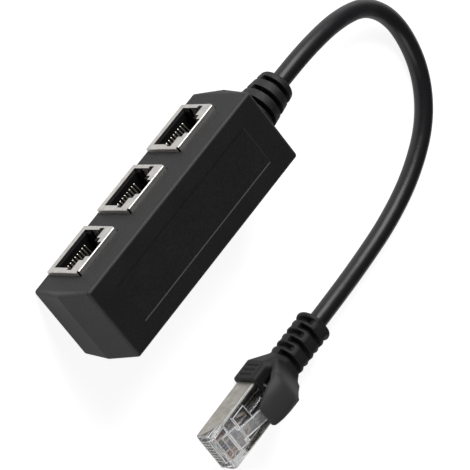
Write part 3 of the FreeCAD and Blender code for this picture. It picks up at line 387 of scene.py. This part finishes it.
def tinned_solder():
    """Tin-silver solder: very bright, slightly grainy where it froze."""
    material, tree, place = start_material("tinned_solder")
    roughness_noise = add_node(tree, "ShaderNodeTexNoise", {"Vector": place, "Scale": 1 / (0.2 * MM), "Detail": 2.0})
    gloss = add_node(tree, "ShaderNodeMapRange", {
        "Value": roughness_noise.outputs["Fac"], "To Min": 0.18, "To Max": 0.32})
    shader = add_node(tree, "ShaderNodeBsdfPrincipled", {
        "Base Color": linear("#d2d3d1"), "Metallic": 1.0, "Roughness": gloss.outputs["Result"]})
    return end_material(material, tree, shader)


def solder_cones(solder):
    """Node tree that stands one hollow-sided cone of solder on each point, as large as its size says."""
    tree = bpy.data.node_groups.new("solder_cones", "GeometryNodeTree")
    tree.interface.new_socket("Geometry", in_out="INPUT", socket_type="NodeSocketGeometry")
    for name in ("Foot radius", "Height"):
        tree.interface.new_socket(name, in_out="INPUT", socket_type="NodeSocketFloat")
    tree.interface.new_socket("Geometry", in_out="OUTPUT", socket_type="NodeSocketGeometry")
    given = add_node(tree, "NodeGroupInput").outputs
    cone = add_node(tree, "GeometryNodeMeshCone", {
        "Vertices": 14, "Side Segments": 5, "Radius Top": 0.0, "Radius Bottom": given["Foot radius"],
        "Depth": given["Height"]})
    place = add_node(tree, "GeometryNodeInputPosition")
    parts = add_node(tree, "ShaderNodeSeparateXYZ", {"Vector": place.outputs["Position"]})
    rise = add_node(tree, "ShaderNodeMath", {0: parts.outputs["Z"], 1: given["Height"]}, operation="DIVIDE")
    pinch = add_node(tree, "ShaderNodeMath", {
        0: rise.outputs[0], 1: CONE_PINCH, 2: 1.0}, operation="MULTIPLY_ADD")
    keep = add_node(tree, "ShaderNodeCombineXYZ", {"X": pinch.outputs[0], "Y": pinch.outputs[0], "Z": 1.0})
    waist = add_node(tree, "ShaderNodeVectorMath", {
        0: place.outputs["Position"], 1: keep.outputs["Vector"]}, operation="MULTIPLY")
    shaped = add_node(tree, "GeometryNodeSetPosition", {
        "Geometry": cone.outputs["Mesh"], "Position": waist.outputs["Vector"]})
    size = add_node(tree, "GeometryNodeInputNamedAttribute", {"Name": "size"}, data_type="FLOAT")
    stood = add_node(tree, "GeometryNodeInstanceOnPoints", {
        "Points": given["Geometry"], "Instance": shaped.outputs["Geometry"],
        "Scale": size.outputs["Attribute"]})
    real = add_node(tree, "GeometryNodeRealizeInstances", {"Geometry": stood.outputs["Instances"]})
    painted = add_node(tree, "GeometryNodeSetMaterial", {
        "Geometry": real.outputs["Geometry"], "Material": solder})
    add_node(tree, "NodeGroupOutput", {"Geometry": painted.outputs["Geometry"]})
    return tree


def grow(name, points, sizes, tree, values):
    """Runs a node tree on points, each with its size, and keeps the result as a plain mesh."""
    seed_mesh = bpy.data.meshes.new(name + "_points")
    seed_mesh.from_pydata(points, [], [])
    seed_mesh.attributes.new("size", "FLOAT", "POINT").data.foreach_set("value", sizes)
    seeds = bpy.data.objects.new(name + "_points", seed_mesh)
    bpy.context.scene.collection.objects.link(seeds)
    modifier = seeds.modifiers.new("grow", "NODES")
    modifier.node_group = tree
    for item in tree.interface.items_tree:
        if item.name in values:
            modifier[item.identifier] = values[item.name]
    evaluated = seeds.evaluated_get(bpy.context.evaluated_depsgraph_get())
    mesh = bpy.data.meshes.new_from_object(evaluated)
    mesh.name = name
    bpy.data.objects.remove(seeds)
    grown = bpy.data.objects.new(name, mesh)
    bpy.context.scene.collection.objects.link(grown)
    return grown


board_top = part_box("circuit_board")[1].z
joints = []
joint_sizes = []
for jack in JACKS:
    for way in WAYS:
        low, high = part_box("%s_contact_%d" % (jack, way))
        tail_half = (high.x - low.x) * TAIL_MIDDLE
        joints.append(((low.x + high.x) / 2, low.y + tail_half, board_top))
        joint_sizes.append(1.0)
wire_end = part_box("board_wires_orange")[0].x
for way in WAYS:
    joints.append((wire_end, (way - MIDDLE_WAY) * PAD_PITCH, board_top))
    joint_sizes.append(PAD_JOINT)
joint_object = grow("solder_joints", joints, joint_sizes, solder_cones(tinned_solder()),
                    {"Foot radius": TAIL_FOOT, "Height": TAIL_HEIGHT})
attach(joint_object, "root")


# Wires
# Four pairs of insulated copper wires run in the cable. They are fanned out to pads on the board and laid
# side by side in the plug. One wire of each pair is plain, and its partner is white with a stripe of the
# pair's colour.
STRIPE_PITCH = 2.4 * MM
WAVE_UNIT = 0.31
PAIR_COLOURS = {"orange": "#94766c", "green": "#757a72", "blue": "#74727c", "brown": "#6b5650"}
WAY_COLOURS = ["orange", "orange", "green", "blue", "blue", "green", "brown", "brown"]


def plain_insulation(pair):
    """Solid-coloured polyethylene: smooth and waxy."""
    material, tree, place = start_material("insulation_" + pair)
    wax = add_node(tree, "ShaderNodeTexNoise", {"Vector": place, "Scale": 1 / (1.5 * MM), "Detail": 2.0})
    gloss = add_node(tree, "ShaderNodeMapRange", {
        "Value": wax.outputs["Fac"], "To Min": 0.30, "To Max": 0.42})
    shader = add_node(tree, "ShaderNodeBsdfPrincipled", {
        "Base Color": linear(PAIR_COLOURS[pair]), "Roughness": gloss.outputs["Result"], "IOR": 1.51})
    return end_material(material, tree, shader)


def striped_insulation(pair):
    """White polyethylene with a stripe of the pair's colour that winds round the wire."""
    material, tree, place = start_material("insulation_white_" + pair)
    winding = add_node(tree, "ShaderNodeTexWave", {
        "Vector": place, "Scale": WAVE_UNIT / STRIPE_PITCH}, wave_type="BANDS", bands_direction="DIAGONAL")
    edge = add_node(tree, "ShaderNodeMapRange", {
        "Value": winding.outputs["Fac"], "From Min": 0.62, "From Max": 0.68})
    tint = add_node(tree, "ShaderNodeMix", {
        "Factor": edge.outputs["Result"], "A": linear("#aca098"), "B": linear(PAIR_COLOURS[pair])},
        data_type="RGBA")
    shader = add_node(tree, "ShaderNodeBsdfPrincipled", {
        "Base Color": tint.outputs["Result"], "Roughness": 0.36, "IOR": 1.51})
    return end_material(material, tree, shader)


plain = {pair: plain_insulation(pair) for pair in PAIR_COLOURS}
striped = {pair: striped_insulation(pair) for pair in PAIR_COLOURS}
for pair in PAIR_COLOURS:
    dress("board_wires_" + pair, plain[pair])
for way, pair in zip(WAYS, WAY_COLOURS):
    dress("plug_wire_%d" % way, striped[pair] if way % 2 else plain[pair])


# Plug
# The plug is one moulding of clear polycarbonate with its springy latch, and a small clear comb inside lines
# up the wires. A thin shell of nickel-plated sheet wraps its sides and underside and grounds it in the port.
PLUG_EDGE = 0.2 * MM
SHEET_EDGE = 0.12 * MM
LATCH_LOW = 8.2 * MM
LATCH_FADE = 0.2 * MM


def clear_polycarbonate(name, colour, rough):
    """Clear polycarbonate: water-clear with a grey cast, and hazy where the latch's mould is textured."""
    material, tree, place = start_material(name)
    height = add_node(tree, "ShaderNodeSeparateXYZ", {"Vector": place})
    textured = {"Value": height.outputs["Z"], "From Min": LATCH_LOW, "From Max": LATCH_LOW + LATCH_FADE}
    haze = add_node(tree, "ShaderNodeMapRange", {**textured, "To Min": rough, "To Max": 0.24})
    clearness = add_node(tree, "ShaderNodeMapRange", {**textured, "To Min": 1.0, "To Max": 0.90})
    flow = add_node(tree, "ShaderNodeTexNoise", {"Vector": place, "Scale": 1 / (2.0 * MM), "Detail": 2.0})
    bump = add_node(tree, "ShaderNodeBump", {"Height": flow.outputs["Fac"], "Distance": 0.02 * MM})
    glass = add_node(tree, "ShaderNodeBsdfPrincipled", {
        "Base Color": linear(colour), "Roughness": haze.outputs["Result"], "IOR": 1.585,
        "Transmission Weight": clearness.outputs["Result"], "Normal": bump.outputs["Normal"]})
    open_way = add_node(tree, "ShaderNodeBsdfTransparent", {"Color": linear("#e8e8e6")})
    path = add_node(tree, "ShaderNodeLightPath")
    both = add_node(tree, "ShaderNodeMixShader", {
        0: path.outputs["Is Shadow Ray"], 1: glass.outputs["BSDF"], 2: open_way.outputs["BSDF"]})
    return end_material(material, tree, both)


def painted_edge_glint():
    """White, rough plastic on the rounded edges: a painted highlight that draws the edges' glints as white
    lines.
    """
    material, tree, place = start_material("painted_edge_glint")
    roughness_noise = add_node(tree, "ShaderNodeTexNoise", {"Vector": place, "Scale": 1 / (0.3 * MM), "Detail": 2.0})
    gloss = add_node(tree, "ShaderNodeMapRange", {
        "Value": roughness_noise.outputs["Fac"], "To Min": 0.35, "To Max": 0.5})
    shader = add_node(tree, "ShaderNodeBsdfPrincipled", {
        "Base Color": linear("#fafbfc"), "Roughness": gloss.outputs["Result"], "IOR": 1.585,
        "Transmission Weight": 0.05})
    return end_material(material, tree, shader)


clear = clear_polycarbonate("clear_polycarbonate", "#f4f4f5", 0.05)
# The plug body's rounded edges take the white edge finish: painted highlight lines along every edge.
rounded_copy("plug_body", PLUG_EDGE, [clear, painted_edge_glint()])
dress("plug_wire_guide", clear_polycarbonate("clear_comb", "#e6e8e6", 0.12))
handled = nickel_plate("handled_nickel_plate", "#d6d2cc", "#a9a59e", 0.38)
sheared = nickel_plate("sheared_nickel_edge", "#fbf9f5", "#efece7", 0.45)
rounded_copy("plug_shield", SHEET_EDGE, [handled, sheared])


# Plug boot
# The finger block, the cover over the latch and the ribbed bend relief are one soft moulding of black PVC.
# Its edges are rounded as they come from the mould and its surface is matt; the cover's top is painted
# lighter, a painted sheen.
BOOT_GRAIN = 0.25 * MM
BOOT_GRAIN_DEPTH = 0.012 * MM
BOOT_VOXEL = 0.2 * MM
BOOT_PASSES = 3
SLOT_FLOOR = 3.45 * MM
SLOT_BAND = 0.3 * MM
SLOT_DEEPER = 0.5 * MM
TUBE_START = 3.6 * MM
HOOD_PASSES = 18
HOOD_LOW = 9.6 * MM
HOOD_RISE = 2.0 * MM
HOOD_CROWN = 0.5 * MM
SHEEN_FROM = 9.5 * MM
SHEEN_FULL = 12.5 * MM
CROWN_UP = 0.55
CROWN_PASSES = 160
FIN_FROM = Vector((-3.0, 3.6, 8.0)) * MM
FIN_PASSES = 90


def softened_boot():
    """A copy of the boot with moulded roundings: its skin is evened out, and the cover most and crowned."""
    body = bmesh.new()
    body.from_mesh(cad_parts["plug_boot"].data)
    bmesh.ops.remove_doubles(body, verts=body.verts, dist=0.001 * MM)
    mesh = bpy.data.meshes.new("boot_skin")
    body.to_mesh(mesh)
    body.free()
    block = bpy.data.objects.new("boot_block", mesh)
    bpy.context.scene.collection.objects.link(block)
    shell = block.modifiers.new("shell", "REMESH")
    shell.mode = "VOXEL"
    shell.voxel_size = BOOT_VOXEL
    evaluated = block.evaluated_get(bpy.context.evaluated_depsgraph_get())
    body = bmesh.new()
    body.from_mesh(evaluated.to_mesh())
    low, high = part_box("plug_boot")
    middle = (low.y + high.y) / 2
    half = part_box("plug_body")[1].y - middle
    axis = Vector((0.0, *CABLE_ROUTE[-1][1:])) * MM
    for v in body.verts:
        out = Vector((0.0, v.co.y - axis.y, v.co.z - axis.z))
        if v.co.x > TUBE_START and abs(out.length - SLOT_FLOOR) < SLOT_BAND:
            v.co -= out.normalized() * SLOT_DEEPER
    cover = [v for v in body.verts if v.co.z > HOOD_LOW]
    for v in cover:
        rise = min(1.0, (v.co.z - HOOD_LOW) / HOOD_RISE)
        v.co.z -= HOOD_CROWN * rise * ((v.co.y - middle) / half) ** 2
    axes = {"use_axis_x": True, "use_axis_y": True, "use_axis_z": True}
    for turn in range(BOOT_PASSES):
        bmesh.ops.smooth_vert(body, verts=body.verts, factor=0.5, **axes)
    for turn in range(HOOD_PASSES):
        bmesh.ops.smooth_vert(body, verts=cover, factor=0.5, **axes)
    body.normal_update()
    crown = [v for v in cover if v.normal.z > CROWN_UP]
    for turn in range(CROWN_PASSES):
        bmesh.ops.smooth_vert(body, verts=crown, factor=0.5, **axes)
    fins = [v for v in body.verts
            if v.co.x > FIN_FROM.x and abs(v.co.y - middle) > FIN_FROM.y and v.co.z > FIN_FROM.z]
    for turn in range(FIN_PASSES):
        bmesh.ops.smooth_vert(body, verts=fins, factor=0.5, **axes)
    smooth = bpy.data.meshes.new("softened_boot")
    body.to_mesh(smooth)
    body.free()
    bpy.data.objects.remove(block)
    smooth.shade_smooth()
    boot = bpy.data.objects.new("softened_boot", smooth)
    bpy.context.scene.collection.objects.link(boot)
    return boot


def painted_cover_sheen(tree, place):
    """One on top of the latch cover, fading out down its flanks: a painted sheen, the top drawn lighter as
    if lit from above.
    """
    height = add_node(tree, "ShaderNodeSeparateXYZ", {"Vector": place})
    return add_node(tree, "ShaderNodeMapRange", {
        "Value": height.outputs["Z"], "From Min": SHEEN_FROM, "From Max": SHEEN_FULL}).outputs["Result"]


# The boot's finish paints the top of the latch cover lighter: a painted sheen.
boot = softened_boot()
boot.data.materials.clear()
boot.data.materials.append(grained_pvc(
    "grained_pvc_boot", "#161618", "#212123", BOOT_GRAIN, BOOT_GRAIN_DEPTH, 0.62, painted_cover_sheen))
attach(boot, "root")
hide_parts("plug_boot")

# The pieces of the plug that rides on the lead are listed.
PLUG_PIECES = ["softened_boot", "plug_body_rounded", "plug_shield_rounded", "plug_wire_guide"]
PLUG_PIECES += ["plug_contact_%d" % way for way in WAYS]
PLUG_PIECES += ["plug_wire_%d" % way for way in WAYS]


# Studio
# A plain white sweep under soft daylight boxes: one large box over the jack face, a weaker one on the other
# side. The sweep shows white to the camera and still takes the object's shadow.
FLOOR_SIZE = 6.0
KEY_PLACE = Vector((0.38, 0.65, 0.50))
KEY_SIZE = 0.55
KEY_POWER = 6.3
FILL_PLACE = Vector((-0.70, -0.40, 0.40))
FILL_SIZE = 0.5
FILL_POWER = 1.6
SEEN_GLOW = 0.84
MIRRORED_GLOW = 0.45
ROOM_GLOW = 0.06


def white_sweep():
    """Matt white paper, lifted to full white for the camera and a little for what mirrors it."""
    material, tree, _ = start_material("white_sweep")
    paper = add_node(tree, "ShaderNodeBsdfDiffuse", {"Color": linear("#d8d8d8")})
    path = add_node(tree, "ShaderNodeLightPath")
    mirrored = add_node(tree, "ShaderNodeMath", {
        0: path.outputs["Is Glossy Ray"], 1: MIRRORED_GLOW}, operation="MULTIPLY")
    glow = add_node(tree, "ShaderNodeMath", {
        0: path.outputs["Is Camera Ray"], 1: SEEN_GLOW, 2: mirrored.outputs[0]}, operation="MULTIPLY_ADD")
    lift = add_node(tree, "ShaderNodeEmission", {"Color": (1.0, 1.0, 1.0, 1.0), "Strength": glow.outputs[0]})
    both = add_node(tree, "ShaderNodeAddShader", {0: paper.outputs[0], 1: lift.outputs[0]})
    return end_material(material, tree, both)


floor_mesh = bpy.data.meshes.new("floor")
half_floor = FLOOR_SIZE / 2
floor_mesh.from_pydata([(-half_floor, -half_floor, 0), (half_floor, -half_floor, 0),
                        (half_floor, half_floor, 0), (-half_floor, half_floor, 0)], [], [(0, 1, 2, 3)])
floor = bpy.data.objects.new("floor", floor_mesh)
floor.data.materials.append(white_sweep())
bpy.context.scene.collection.objects.link(floor)


def soft_box(name, place, size, power):
    """A square lamp that faces the middle of the object."""
    data = bpy.data.lights.new(name, "AREA")
    data.size = size
    data.energy = power
    lamp = bpy.data.objects.new(name, data)
    lamp.location = place
    lamp.rotation_euler = (CAMERA_TARGET - place).to_track_quat("-Z", "Y").to_euler()
    bpy.context.scene.collection.objects.link(lamp)


soft_box("key_box", KEY_PLACE, KEY_SIZE, KEY_POWER)
soft_box("fill_box", FILL_PLACE, FILL_SIZE, FILL_POWER)

world = bpy.data.worlds.new("studio")
world.use_nodes = True
bpy.context.scene.world = world
world.node_tree.nodes.clear()
path = add_node(world.node_tree, "ShaderNodeLightPath")
seen = add_node(world.node_tree, "ShaderNodeMath", {
    0: path.outputs["Is Camera Ray"], 1: path.outputs["Is Transmission Ray"]}, operation="MAXIMUM")
strength = add_node(world.node_tree, "ShaderNodeMapRange", {
    "Value": seen.outputs[0], "To Min": ROOM_GLOW, "To Max": 1.0})
sky = add_node(world.node_tree, "ShaderNodeBackground", {
    "Color": (1.0, 1.0, 1.0, 1.0), "Strength": strength.outputs["Result"]})
add_node(world.node_tree, "ShaderNodeOutputWorld", {"Surface": sky.outputs[0]})
bpy.context.scene.view_settings.view_transform = "Standard"
